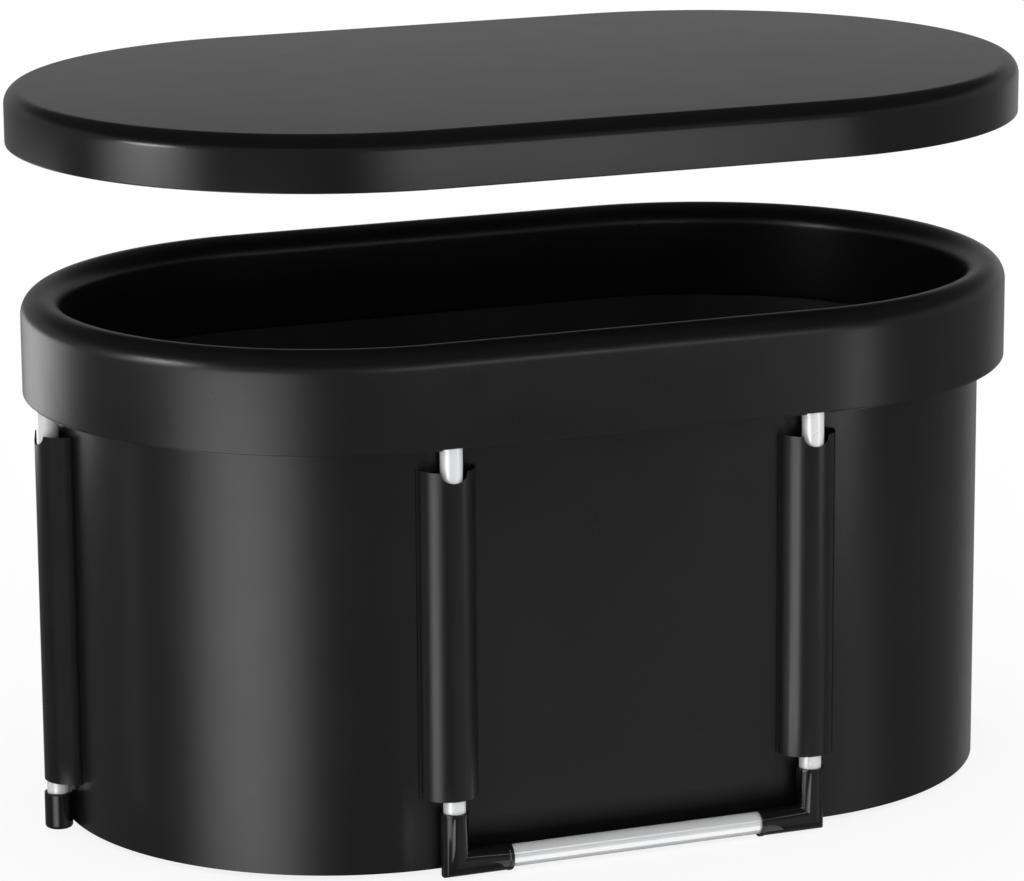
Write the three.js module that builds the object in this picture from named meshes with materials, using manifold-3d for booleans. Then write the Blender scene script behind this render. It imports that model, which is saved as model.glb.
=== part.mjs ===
// A portable cold plunge tub: an oval fabric tub hung on six outside poles,
// with a padded collar round its rim, a padded lid and a drain at the back.
// Millimetres, +Z up. The origin is on the floor, under the middle of the tub.
import * as THREE from 'three';
import { mergeVertices } from 'three/addons/utils/BufferGeometryUtils.js';
import Module from 'manifold-3d';

const wasm = await Module();
wasm.setup();

// Outline of the tub: two half circles joined by straight sides.
const STRAIGHT = 458; // length of each straight side
const BODY_RADIUS = 323; // outer face of the wall
const ARC_STEPS = 16; // facets in each half circle, an even number

// Clearance between pieces that touch on the real tub.
const FIT = 0.3;

// Wall and floor layers, from the outside in.
const BODY_BOTTOM = 6; // the fabric hangs clear of the floor
const OUTER_SKIN = 1.5;
const WALL_FOAM = 7;
const LINER = 1.2;
const BASE_SKIN = 2;
const FLOOR_FOAM = 10;

// Poles, their plugs and the fittings at their feet.
const POLE_DIAMETER = 25;
const POLE_WALL = 1.2;
const POLE_SPREAD = 215; // front and rear poles stand this far from the middle
const POLE_SIDES = 20; // a multiple of four, so that an elbow lies on a flat facet
const PLUG_HEAD = 3;
const PLUG_STEM = 18;
const FITTING_WALL = 3.1; // wall of an elbow or a foot cap round the pole
const FITTING_LIP = 0.7; // raised band round the mouth of an elbow
const LIP_LENGTH = 5;
const ELBOW_RISE = 75; // top of an elbow above the floor
const ELBOW_REACH = 65; // end of its arm from the pole's axis
const ELBOW_SEAT = 18; // bottom of its sockets from the corner of the two axes
const CAP_HEIGHT = 42;
const CAP_FLOOR = 5;
const CAP_ROUND = 4;
const CAP_ARC_STEPS = 3;

// Sleeves: strips welded to the wall that arch over the poles.
const SLEEVE_SKIN = 1.4;
const SLEEVE_EASE = 0.5; // slack between the pole and the top of the arch
const SLEEVE_FOOT = 31; // weld line from the middle of the sleeve
const SLEEVE_FLANGE = 4; // flat strip outside the weld line
const SLEEVE_DROP = 27; // top edge of the sleeve under the collar
const POLE_BARE = 15; // pole that shows between a fitting and the sleeve
const NOTCH_DEPTH = 12;
const NOTCH_HALF = 16; // half width of the notch, along the cloth
const SLEEVE_ARC_STEPS = 20;

// Collar: a padded roll that caps the wall and hides the tops of the poles.
const RIM_HEIGHT = 600;
const COLLAR_DEPTH = 112;
const COLLAR_WIDTH = 46;
const COLLAR_SKIN = 1.5;
const COLLAR_ARC_STEPS = 8;
const WALL_TUCK = 40; // the wall and the poles end this far under the rim

// Lid: a padded cap whose skirt goes round the collar, shown lifted off.
const LID_LIFT = 175; // lower edge of the skirt above the rim
const LID_THICKNESS = 61.5; // at its rounded edge
const LID_CROWN = 4;
const LID_OVERHANG = 11.5; // beyond the collar
const LID_EDGE_RADIUS = 18;
const LID_SKIRT = 28;
const LID_CLEARANCE = 1.5; // between the skirt and the collar
const LID_SKIN = 1.5;
const LID_LINING = 1.2;
const LID_ARC_STEPS = 4;
const LID_CROWN_STEPS = 2;
const LID_FLAT = 60; // radius of the flat middle of the crown

// Drain at the foot of the rear wall.
const DRAIN_HEIGHT = 66;
const DRAIN_BORE = 26;
const SPIGOT_WALL = 5;
const GASKET = 2;
const DRAIN_FLANGE_RADIUS = 30;
const DRAIN_FLANGE = 4;
const FLANGE_CHAMFER = 1;
const DRAIN_BOSS = 9; // length of the boss outside the flange
const DRAIN_NUT = 8;
const DRAIN_NUT_WALL = 9;
const PLUG_RUN = 30; // length of the drain plug's stem
const SEAL_SECTION = 3;
const SEAL_SET = 12; // seal from the mouth of the drain
const SEAL_STEPS = 6;
const KNOB_RADIUS = 21;
const KNOB_DEPTH = 17;
const KNOB_RIBS = 10;
const KNOB_RIB_DEPTH = 2;
const RIB_STEPS = 4; // points along each rib's wave
const DRAIN_SIDES = 16;

// Radii and heights that follow from the sizes above.
const HALF = STRAIGHT / 2;
const skinInner = BODY_RADIUS - OUTER_SKIN;
const foamOuter = skinInner - FIT;
const foamInner = foamOuter - WALL_FOAM;
const linerOuter = foamInner - FIT;
const linerInner = linerOuter - LINER;

const baseTop = BODY_BOTTOM + BASE_SKIN;
const floorFoamTop = baseTop + FIT + FLOOR_FOAM;
const floorLinerBottom = floorFoamTop + FIT;
const wallTop = RIM_HEIGHT - WALL_TUCK;
const collarBottom = RIM_HEIGHT - COLLAR_DEPTH;

const poleRadius = POLE_DIAMETER / 2;
const poleBore = poleRadius - POLE_WALL;
const socketRadius = poleRadius + FIT;
const fittingRadius = socketRadius + FITTING_WALL;
const standoff = fittingRadius + FIT; // pole's axis from the wall
const poleTop = wallTop;

const collarOuter = BODY_RADIUS + standoff + poleRadius + FIT + COLLAR_SKIN;
const collarInner = collarOuter - COLLAR_WIDTH;
const collarMiddle = (collarOuter + collarInner) / 2;
const collarRound = COLLAR_WIDTH / 2;
const collarShoulder = RIM_HEIGHT - collarRound;

const lidBottom = RIM_HEIGHT + LID_LIFT;
const lidEdgeTop = lidBottom + LID_THICKNESS;
const lidOuter = collarOuter + LID_OVERHANG;
const lidCavity = collarOuter + LID_CLEARANCE;
const lidRoof = lidBottom + LID_SKIRT;

const spigotRadius = DRAIN_BORE / 2 + SPIGOT_WALL;
const wallThickness = BODY_RADIUS - linerInner;
const gasketFace = FIT + GASKET;
const flangeBack = gasketFace + FIT;
const flangeFront = flangeBack + DRAIN_FLANGE;
const drainMouth = flangeFront + DRAIN_BOSS;
const nutBack = wallThickness + FIT;
const spigotEnd = nutBack + DRAIN_NUT;

// Finishes
const coated = new THREE.MeshStandardMaterial({ color: 0x2c2c2e, roughness: 0.45, metalness: 0 });
const lidCloth = new THREE.MeshStandardMaterial({ color: 0x3a3a3c, roughness: 0.5, metalness: 0 });
const lining = new THREE.MeshStandardMaterial({ color: 0x1d1d1f, roughness: 0.6, metalness: 0 });
const foam = new THREE.MeshStandardMaterial({ color: 0xd9d7d0, roughness: 0.95, metalness: 0 });
const silver = new THREE.MeshStandardMaterial({ color: 0xd6d8da, roughness: 0.25, metalness: 1 });
const glossBlack = new THREE.MeshStandardMaterial({ color: 0x0d0d0e, roughness: 0.12, metalness: 0 });
const rubber = new THREE.MeshStandardMaterial({ color: 0x1a1a1a, roughness: 0.8, metalness: 0 });

// Points of the outline at a distance from its middle line, anticlockwise,
// each with the middle of its half circle and its direction.
function outlineStations() {
  const stations = [];
  for (const end of [1, -1]) {
    for (let step = 0; step <= ARC_STEPS; step += 1) {
      const angle = end * -Math.PI / 2 + end * Math.PI * step / ARC_STEPS;
      const heading = end > 0 ? angle : Math.PI - angle;
      stations.push({ middle: end * HALF, cos: Math.cos(heading), sin: Math.sin(heading) });
    }
  }
  return stations;
}

const outline = outlineStations();

function outlinePoint(station, radius) {
  return [station.middle + radius * station.cos, radius * station.sin];
}

function meshFrom(positions, triangles) {
  const geometry = new THREE.BufferGeometry();
  geometry.setAttribute('position', new THREE.Float32BufferAttribute(positions, 3));
  geometry.setIndex(triangles);
  return geometry;
}

// Rows of points, each row a closed loop, joined to the next row by a band.
function bandTriangles(rows, columns, closed) {
  const triangles = [];
  const bands = closed ? rows : rows - 1;
  for (let row = 0; row < bands; row += 1) {
    const next = (row + 1) % rows;
    for (let column = 0; column < columns; column += 1) {
      const beside = (column + 1) % columns;
      const a = row * columns + column;
      const b = row * columns + beside;
      const c = next * columns + beside;
      const d = next * columns + column;
      triangles.push(a, b, c, a, c, d);
    }
  }
  return triangles;
}

function outlineRows(section) {
  const positions = [];
  for (const [radius, z] of section) {
    for (const station of outline) {
      positions.push(...outlinePoint(station, radius), z);
    }
  }
  return positions;
}

// A ring: a closed section of [radius, z] points, anticlockwise with the
// radius to the right, carried round the outline.
function ring(section) {
  return meshFrom(outlineRows(section), bandTriangles(section.length, outline.length, true));
}

function bandRing(inner, outer, bottom, top) {
  return ring([[inner, bottom], [outer, bottom], [outer, top], [inner, top]]);
}

// A filled form: a profile of [radius, z] points from its lower face round
// the edge to its upper face, with both faces closed across the middle.
function filled(profile) {
  const columns = outline.length;
  const positions = outlineRows(profile);
  const triangles = bandTriangles(profile.length, columns, false);
  const last = (profile.length - 1) * columns;
  for (let column = 1; column < columns - 1; column += 1) {
    triangles.push(0, column + 1, column);
    triangles.push(last, last + column, last + column + 1);
  }
  return meshFrom(positions, triangles);
}

function plate(radius, bottom, top) {
  return filled([[radius, bottom], [radius, top]]);
}

// Points on an arc of [radius, z], from one angle to another in degrees.
function arc(middle, height, radius, from, to, steps) {
  const points = [];
  for (let step = 0; step <= steps; step += 1) {
    const angle = THREE.MathUtils.degToRad(from + (to - from) * step / steps);
    points.push([middle + radius * Math.cos(angle), height + radius * Math.sin(angle)]);
  }
  return points;
}

// A turned piece: a profile of [radius, distance along the axis] points,
// going up on its outside. The axis is Y, and a ring's profile is closed.
function turned(profile, sides) {
  return new THREE.LatheGeometry(profile.map(([radius, y]) => new THREE.Vector2(radius, y)), sides);
}

function upright(geometry) {
  return geometry.rotateX(Math.PI / 2);
}

function tube(outer, inner, from, to, sides) {
  return turned([[outer, from], [outer, to], [inner, to], [inner, from], [outer, from]], sides);
}

function rod(radius, from, to, sides) {
  return turned([[0, from], [radius, from], [radius, to], [0, to]], sides);
}

function solidOf(geometry) {
  const bare = geometry.clone();
  bare.deleteAttribute('normal');
  bare.deleteAttribute('uv');
  const merged = mergeVertices(bare, 1e-4);
  const mesh = new wasm.Mesh({
    numProp: 3,
    vertProperties: new Float32Array(merged.attributes.position.array),
    triVerts: new Uint32Array(merged.index.array),
  });
  mesh.merge();
  return new wasm.Manifold(mesh);
}

function cut(geometry, cutters) {
  let solid = solidOf(geometry);
  for (const cutter of cutters) {
    solid = solid.subtract(solidOf(cutter));
  }
  const mesh = solid.getMesh();
  return meshFrom(Array.from(mesh.vertProperties), Array.from(mesh.triVerts));
}

const tub = new THREE.Group();

function add(parent, name, geometry, material) {
  const mesh = new THREE.Mesh(geometry, material);
  mesh.name = name;
  parent.add(mesh);
  return mesh;
}

// Where the poles stand: the pole's place, the turn that faces it outwards,
// and the turn of its elbow's arm, or none where the foot is a plain cap.
const sideAxis = BODY_RADIUS + standoff;
const endAxis = HALF + sideAxis;
const FORWARD = 0;
const BACKWARD = Math.PI;
const poles = [
  { name: 'front_left', x: -POLE_SPREAD, y: -sideAxis, facing: 0, arm: FORWARD },
  { name: 'front_right', x: POLE_SPREAD, y: -sideAxis, facing: 0, arm: BACKWARD },
  { name: 'right_end', x: endAxis, y: 0, facing: Math.PI / 2, arm: null },
  { name: 'rear_right', x: POLE_SPREAD, y: sideAxis, facing: Math.PI, arm: FORWARD },
  { name: 'rear_left', x: -POLE_SPREAD, y: sideAxis, facing: Math.PI, arm: BACKWARD },
  { name: 'left_end', x: -endAxis, y: 0, facing: -Math.PI / 2, arm: null },
];

// Distance from the line of a pole's axis in to the wall, at a distance
// sideways from the pole.
function wallGap(pole, sideways) {
  const along = [Math.cos(pole.facing), Math.sin(pole.facing)];
  const inward = [-Math.sin(pole.facing), Math.cos(pole.facing)];
  const start = [pole.x + sideways * along[0], pole.y + sideways * along[1]];
  let nearest = Infinity;
  for (let index = 0; index < outline.length; index += 1) {
    const [ax, ay] = outlinePoint(outline[index], BODY_RADIUS);
    const [bx, by] = outlinePoint(outline[(index + 1) % outline.length], BODY_RADIUS);
    const a = (ax - start[0]) * along[0] + (ay - start[1]) * along[1];
    const b = (bx - start[0]) * along[0] + (by - start[1]) * along[1];
    if (a * b > 0 || a === b) continue;
    const share = a / (a - b);
    const hit = [ax + (bx - ax) * share, ay + (by - ay) * share];
    const gap = (hit[0] - start[0]) * inward[0] + (hit[1] - start[1]) * inward[1];
    if (gap > 0) nearest = Math.min(nearest, gap);
  }
  return nearest;
}

function drainAxis(geometry) {
  return geometry.translate(0, BODY_RADIUS, DRAIN_HEIGHT);
}

// Wall: an outer skin, a foam layer and an inner liner, all open for the drain.
function wallLayer(inner, outer, bottom) {
  const past = wallThickness; // the cutter goes this far past both faces
  const hole = rod(spigotRadius + FIT, -wallThickness - past, past, DRAIN_SIDES);
  return cut(bandRing(inner, outer, bottom, wallTop), [drainAxis(hole)]);
}

add(tub, 'outer_wall', wallLayer(skinInner, BODY_RADIUS, BODY_BOTTOM), coated);
add(tub, 'wall_foam', wallLayer(foamInner, foamOuter, baseTop + FIT), foam);
add(tub, 'inner_liner', wallLayer(linerInner, linerOuter, floorLinerBottom), lining);

// Floor: a base sheet, a foam pad and a liner sheet.
add(tub, 'base_sheet', plate(skinInner - FIT, BODY_BOTTOM, baseTop), coated);
add(tub, 'floor_foam', plate(foamInner - FIT, baseTop + FIT, floorFoamTop), foam);
add(tub, 'floor_liner', plate(linerInner - FIT, floorLinerBottom, floorLinerBottom + LINER), lining);

// Collar cover: an upside-down U with a half-round top.
function collarSection(skin) {
  const outer = collarOuter - skin;
  const inner = collarInner + skin;
  const top = arc(collarMiddle, collarShoulder, collarRound - skin, 0, 180, COLLAR_ARC_STEPS);
  return { outer, inner, top };
}

function collarCover() {
  const outside = collarSection(0);
  const inside = collarSection(COLLAR_SKIN);
  return ring([
    [outside.outer, collarBottom],
    ...outside.top,
    [outside.inner, collarBottom],
    [inside.inner, collarBottom],
    ...inside.top.reverse(),
    [inside.outer, collarBottom],
  ]);
}

function polePocket(pole, from, to) {
  return upright(rod(socketRadius, from, to, POLE_SIDES)).translate(pole.x, pole.y, 0);
}

const hemTop = collarBottom + COLLAR_SKIN;
const plugTop = poleTop + FIT + PLUG_HEAD;

// Collar foam: fills the cover, with a slot for the wall and pockets for the poles.
function collarFoam() {
  const inside = collarSection(COLLAR_SKIN + FIT);
  const body = ring([
    [inside.outer, hemTop + FIT],
    ...inside.top,
    [inside.inner, collarBottom],
    [linerInner - FIT, collarBottom],
    [linerInner - FIT, wallTop + FIT],
    [BODY_RADIUS + FIT, wallTop + FIT],
    [BODY_RADIUS + FIT, hemTop + FIT],
  ]);
  return cut(body, poles.map((pole) => polePocket(pole, collarBottom, plugTop + FIT)));
}

// Collar hem: the strip that closes the collar from below, open for the poles.
function collarHem() {
  const outer = collarOuter - COLLAR_SKIN - FIT;
  const strip = bandRing(BODY_RADIUS + FIT, outer, collarBottom, hemTop);
  const below = collarBottom - COLLAR_SKIN;
  return cut(strip, poles.map((pole) => polePocket(pole, below, hemTop + COLLAR_SKIN)));
}

add(tub, 'collar_cover', collarCover(), coated);
add(tub, 'collar_foam', collarFoam(), foam);
add(tub, 'collar_hem', collarHem(), coated);

// One half of a sleeve's section, from the middle of its arch to its flange,
// as [sideways, outwards] points from the pole's axis. The cloth goes over the
// pole in half an ellipse, from weld line to weld line, and then lies on the wall.
function sleeveHalf(pole, side) {
  const lie = (sideways) => [sideways, FIT - wallGap(pole, side * sideways)];
  const foot = lie(SLEEVE_FOOT);
  const rise = poleRadius + SLEEVE_EASE - foot[1];
  const steps = SLEEVE_ARC_STEPS / 2;
  const points = [];
  for (let step = 0; step <= steps; step += 1) {
    const angle = Math.PI / 2 * (1 - step / steps);
    points.push([foot[0] * Math.cos(angle), foot[1] + rise * Math.sin(angle)]);
  }
  points.push(lie(SLEEVE_FOOT + SLEEVE_FLANGE));
  return points.map(([sideways, outwards]) => [side * sideways, outwards]);
}

// The same section moved outwards by the thickness of the cloth, with mitred corners.
function thickened(section, thickness) {
  const turnLeft = (from, to) => {
    const length = Math.hypot(to[0] - from[0], to[1] - from[1]);
    return [-(to[1] - from[1]) / length, (to[0] - from[0]) / length];
  };
  return section.map((point, index) => {
    const before = turnLeft(section[Math.max(index - 1, 0)], section[Math.max(index, 1)]);
    const last = section.length - 1;
    const after = turnLeft(section[Math.min(index, last - 1)], section[Math.min(index + 1, last)]);
    const mitre = thickness / (1 + before[0] * after[0] + before[1] * after[1]);
    return [point[0] + (before[0] + after[0]) * mitre, point[1] + (before[1] + after[1]) * mitre];
  });
}

function lengthsFromMiddle(section) {
  const middle = (section.length - 1) / 2;
  const lengths = section.map(() => 0);
  for (let step = 1; step <= middle; step += 1) {
    for (const side of [-1, 1]) {
      const here = section[middle + side * step];
      const before = section[middle + side * (step - 1)];
      const run = Math.hypot(here[0] - before[0], here[1] - before[1]);
      lengths[middle + side * step] = lengths[middle + side * (step - 1)] + run;
    }
  }
  return lengths;
}

// A sleeve: its section between a straight lower edge and a top edge that is
// scooped out in half an ellipse, so that the pole shows under the collar.
function sleeve(pole) {
  const left = sleeveHalf(pole, -1).reverse();
  const inside = [...left.slice(0, -1), ...sleeveHalf(pole, 1)];
  const outside = thickened(inside, SLEEVE_SKIN);
  const top = collarBottom - SLEEVE_DROP;
  const bottom = (pole.arm === null ? CAP_HEIGHT : ELBOW_RISE) + POLE_BARE;
  const edge = lengthsFromMiddle(inside).map((length) => {
    const share = Math.min(length / NOTCH_HALF, 1);
    return top - NOTCH_DEPTH * Math.sqrt(1 - share * share);
  });
  const across = (section, height) => section.flatMap(([sideways, outwards], index) => (
    [sideways, -outwards, height(index)]
  ));
  const positions = [
    ...across(inside, () => bottom),
    ...across(outside, () => bottom),
    ...across(outside, (index) => edge[index]),
    ...across(inside, (index) => edge[index]),
  ];
  const columns = inside.length;
  const rows = positions.length / 3 / columns;
  const triangles = [];
  for (let row = 0; row < rows; row += 1) {
    const here = row * columns;
    const next = ((row + 1) % rows) * columns;
    for (let column = 0; column < columns - 1; column += 1) {
      triangles.push(here + column, here + column + 1, next + column + 1);
      triangles.push(here + column, next + column + 1, next + column);
    }
  }
  const last = columns - 1;
  triangles.push(0, columns, 2 * columns, 0, 2 * columns, 3 * columns);
  triangles.push(last, 3 * columns + last, 2 * columns + last);
  triangles.push(last, 2 * columns + last, columns + last);
  return meshFrom(positions, triangles);
}

// An elbow: two round arms that meet in a sharp mitred corner, with a raised
// lip at each mouth and a socket down each arm. One arm points up, one along +X.
function elbow() {
  const corner = fittingRadius; // height of the lower arm's axis
  const around = 1 / Math.cos(Math.PI / POLE_SIDES); // facets lie outside the circle
  const body = fittingRadius - FITTING_LIP;
  const lipFoot = ELBOW_RISE - LIP_LENGTH;
  const lipStart = ELBOW_REACH - LIP_LENGTH;
  const up = (height, radius) => (c, s) => [radius * c, radius * s, height];
  const out = (reach, radius) => (c, s) => [reach, radius * s, corner + radius * c];
  const mitre = (c, s) => [body * c, body * s, corner + body * c];
  const rows = [
    out(ELBOW_REACH, fittingRadius),
    out(lipStart, fittingRadius),
    out(lipStart, body),
    mitre,
    up(lipFoot, body),
    up(lipFoot, fittingRadius),
    up(ELBOW_RISE, fittingRadius),
  ];
  const positions = [];
  for (const place of rows) {
    for (let side = 0; side < POLE_SIDES; side += 1) {
      const angle = 2 * Math.PI * (side + 0.5) / POLE_SIDES;
      positions.push(...place(around * Math.cos(angle), around * Math.sin(angle)));
    }
  }
  const triangles = bandTriangles(rows.length, POLE_SIDES, false);
  const last = (rows.length - 1) * POLE_SIDES;
  for (let side = 1; side < POLE_SIDES - 1; side += 1) {
    triangles.push(0, side + 1, side);
    triangles.push(last, last + side, last + side + 1);
  }
  const riser = upright(rod(socketRadius, corner + ELBOW_SEAT, ELBOW_RISE + LIP_LENGTH, POLE_SIDES));
  const runner = rod(socketRadius, ELBOW_SEAT, ELBOW_REACH + LIP_LENGTH, POLE_SIDES);
  runner.rotateZ(-Math.PI / 2).translate(0, 0, corner);
  return cut(meshFrom(positions, triangles), [riser, runner]);
}

// A foot cap: a cup with a rounded lower edge.
function footCap() {
  const rounded = arc(fittingRadius - CAP_ROUND, CAP_ROUND, CAP_ROUND, -90, 0, CAP_ARC_STEPS);
  const profile = [
    [0, 0],
    ...rounded,
    [fittingRadius, CAP_HEIGHT],
    [socketRadius, CAP_HEIGHT],
    [socketRadius, CAP_FLOOR],
    [0, CAP_FLOOR],
  ];
  return upright(turned(profile, POLE_SIDES));
}

// A plug: a domed head on the end of the pole and a stem inside it.
function polePlug() {
  const stem = poleBore - FIT;
  const head = poleTop + FIT;
  const profile = [
    [0, poleTop - PLUG_STEM],
    [stem, poleTop - PLUG_STEM],
    [stem, head],
    [poleRadius, head],
    [poleRadius, head + PLUG_HEAD / 2],
    [poleRadius - PLUG_HEAD / 2, plugTop],
    [0, plugTop],
  ];
  return upright(turned(profile, POLE_SIDES));
}

for (const pole of poles) {
  const station = new THREE.Group();
  station.position.set(pole.x, pole.y, 0);
  station.rotation.z = pole.facing;
  tub.add(station);
  const capped = pole.arm === null;
  const seat = capped ? CAP_FLOOR : fittingRadius + ELBOW_SEAT;
  const length = upright(tube(poleRadius, poleBore, seat + FIT, poleTop, POLE_SIDES));
  add(station, `pole_${pole.name}`, length, silver);
  add(station, `pole_plug_${pole.name}`, polePlug(), glossBlack);
  add(station, `sleeve_${pole.name}`, sleeve(pole), coated);
  if (capped) {
    add(station, `foot_cap_${pole.name}`, footCap(), glossBlack);
  } else {
    const fitting = add(station, `elbow_${pole.name}`, elbow(), glossBlack);
    fitting.rotation.z = pole.arm;
  }
}

// Floor bars: one joins the two front elbows and one the two rear ones.
for (const [name, y] of [['front', -sideAxis], ['rear', sideAxis]]) {
  const reach = POLE_SPREAD - ELBOW_SEAT - FIT;
  const bar = tube(poleRadius, poleBore, -reach, reach, POLE_SIDES).rotateZ(-Math.PI / 2);
  const mesh = add(tub, `floor_bar_${name}`, bar, silver);
  mesh.position.set(0, y, fittingRadius);
}

// Height of the crowned face at a radius, over the height of its edge.
function crown(radius, edge) {
  const share = radius / edge;
  return LID_CROWN * (1 - share * share);
}

// The crowned face from the rounded edge in to its flat middle, as [radius, z].
function crownPoints(edge, height) {
  const points = [];
  for (let step = 1; step <= LID_CROWN_STEPS; step += 1) {
    const radius = edge + (LID_FLAT - edge) * step / LID_CROWN_STEPS;
    points.push([radius, height + crown(radius, edge)]);
  }
  return points;
}

// Outside of the lid, moved in by a thickness: its side, rounded edge and crown.
function lidShell(skin) {
  const edge = lidOuter - LID_EDGE_RADIUS;
  const height = lidEdgeTop - LID_EDGE_RADIUS;
  const rounded = arc(edge, height, LID_EDGE_RADIUS - skin, 0, 90, LID_ARC_STEPS);
  return [...rounded, ...crownPoints(edge, lidEdgeTop - skin)];
}

function lidCover() {
  const inside = lidShell(LID_SKIN).reverse();
  return filled([
    ...inside,
    [lidOuter - LID_SKIN, lidBottom],
    [lidOuter, lidBottom],
    ...lidShell(0),
  ]);
}

const lidHemTop = lidBottom + LID_SKIN;
const skirtOuter = lidOuter - LID_SKIN - FIT;
const skirtInner = lidCavity + LID_LINING + FIT;
const lidLiningTop = lidRoof + LID_LINING;

function lidFoam() {
  return filled([
    [LID_FLAT, lidLiningTop + FIT],
    [skirtInner, lidLiningTop + FIT],
    [skirtInner, lidHemTop + FIT],
    [skirtOuter, lidHemTop + FIT],
    ...lidShell(LID_SKIN + FIT),
  ]);
}

function lidLining() {
  return filled([
    [LID_FLAT, lidRoof],
    [lidCavity, lidRoof],
    [lidCavity, lidBottom],
    [lidCavity + LID_LINING, lidBottom],
    [lidCavity + LID_LINING, lidLiningTop],
    [LID_FLAT, lidLiningTop],
  ]);
}

add(tub, 'lid_cover', lidCover(), lidCloth);
add(tub, 'lid_foam', lidFoam(), foam);
add(tub, 'lid_lining', lidLining(), lining);
add(tub, 'lid_hem', bandRing(skirtInner, skirtOuter, lidBottom, lidHemTop), lidCloth);

// Drain body: a flange and boss outside the wall, and a spigot through it.
function drainBody() {
  const profile = [
    [DRAIN_BORE / 2, -spigotEnd],
    [spigotRadius, -spigotEnd],
    [spigotRadius, flangeBack],
    [DRAIN_FLANGE_RADIUS, flangeBack],
    [DRAIN_FLANGE_RADIUS, flangeFront - FLANGE_CHAMFER],
    [DRAIN_FLANGE_RADIUS - FLANGE_CHAMFER, flangeFront],
    [spigotRadius, flangeFront],
    [spigotRadius, drainMouth],
    [DRAIN_BORE / 2, drainMouth],
    [DRAIN_BORE / 2, -spigotEnd],
  ];
  return turned(profile, DRAIN_SIDES);
}

// A wheel outline with rounded ribs, as on a knob or a ring nut.
function ribbedOutline(radius, ribs, depth) {
  const points = [];
  const steps = ribs * RIB_STEPS;
  for (let step = 0; step < steps; step += 1) {
    const angle = 2 * Math.PI * step / steps;
    const reach = radius - depth / 2 + depth / 2 * Math.cos(ribs * angle);
    points.push(new THREE.Vector2(reach * Math.cos(angle), reach * Math.sin(angle)));
  }
  return new THREE.Shape(points);
}

function drainNut() {
  const shape = ribbedOutline(spigotRadius + FIT + DRAIN_NUT_WALL, KNOB_RIBS, KNOB_RIB_DEPTH);
  const hole = new THREE.Path().absarc(0, 0, spigotRadius + FIT, 0, 2 * Math.PI, true);
  shape.holes.push(hole);
  const nut = new THREE.ExtrudeGeometry(shape, {
    depth: DRAIN_NUT, bevelEnabled: false, curveSegments: DRAIN_SIDES,
  });
  return nut.rotateX(Math.PI / 2).translate(0, -nutBack, 0);
}

// Drain plug: a stem with a groove for its seal, and a ribbed knob.
const sealInner = DRAIN_BORE / 2 - SEAL_SECTION;
const sealMiddle = drainMouth - SEAL_SET;

function drainPlug() {
  const stem = DRAIN_BORE / 2 - FIT;
  const knobBack = drainMouth + FIT;
  const grooveLow = sealMiddle - SEAL_SECTION / 2 - FIT;
  const grooveHigh = sealMiddle + SEAL_SECTION / 2 + FIT;
  const stemPiece = turned([
    [0, knobBack - PLUG_RUN],
    [stem, knobBack - PLUG_RUN],
    [stem, grooveLow],
    [sealInner - FIT, grooveLow],
    [sealInner - FIT, grooveHigh],
    [stem, grooveHigh],
    [stem, knobBack + KNOB_DEPTH / 2],
    [0, knobBack + KNOB_DEPTH / 2],
  ], DRAIN_SIDES);
  const bevel = KNOB_RIB_DEPTH;
  const knob = new THREE.ExtrudeGeometry(ribbedOutline(KNOB_RADIUS - bevel, KNOB_RIBS, KNOB_RIB_DEPTH), {
    depth: KNOB_DEPTH - 2 * bevel, bevelThickness: bevel, bevelSize: bevel, bevelSegments: 1,
  });
  knob.rotateX(-Math.PI / 2).translate(0, knobBack + bevel, 0);
  const mesh = solidOf(stemPiece).add(solidOf(knob)).getMesh();
  return meshFrom(Array.from(mesh.vertProperties), Array.from(mesh.triVerts));
}

function sealRing() {
  const middle = sealInner + SEAL_SECTION / 2 - FIT / 2;
  const section = arc(middle, sealMiddle, SEAL_SECTION / 2 - FIT / 2, -180, 180, SEAL_STEPS);
  return turned(section, DRAIN_SIDES);
}

const gasket = tube(DRAIN_FLANGE_RADIUS, spigotRadius + FIT, FIT, gasketFace, DRAIN_SIDES);
add(tub, 'drain_body', drainAxis(drainBody()), glossBlack);
add(tub, 'drain_gasket', drainAxis(gasket), rubber);
add(tub, 'drain_nut', drainAxis(drainNut()), glossBlack);
add(tub, 'drain_plug', drainAxis(drainPlug()), glossBlack);
add(tub, 'drain_plug_seal', drainAxis(sealRing()), rubber);

export default tub;
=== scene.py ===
# %% [markdown]
# # A portable cold plunge tub
# The tub is an oval of coated fabric that hangs on six outside poles. A padded
# collar rolls over its rim, a padded lid hovers above it, and the poles stand
# in glossy elbows and caps. The frame below gives the true places and sizes,
# and every soft or round piece is then made again as a fine surface.

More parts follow.
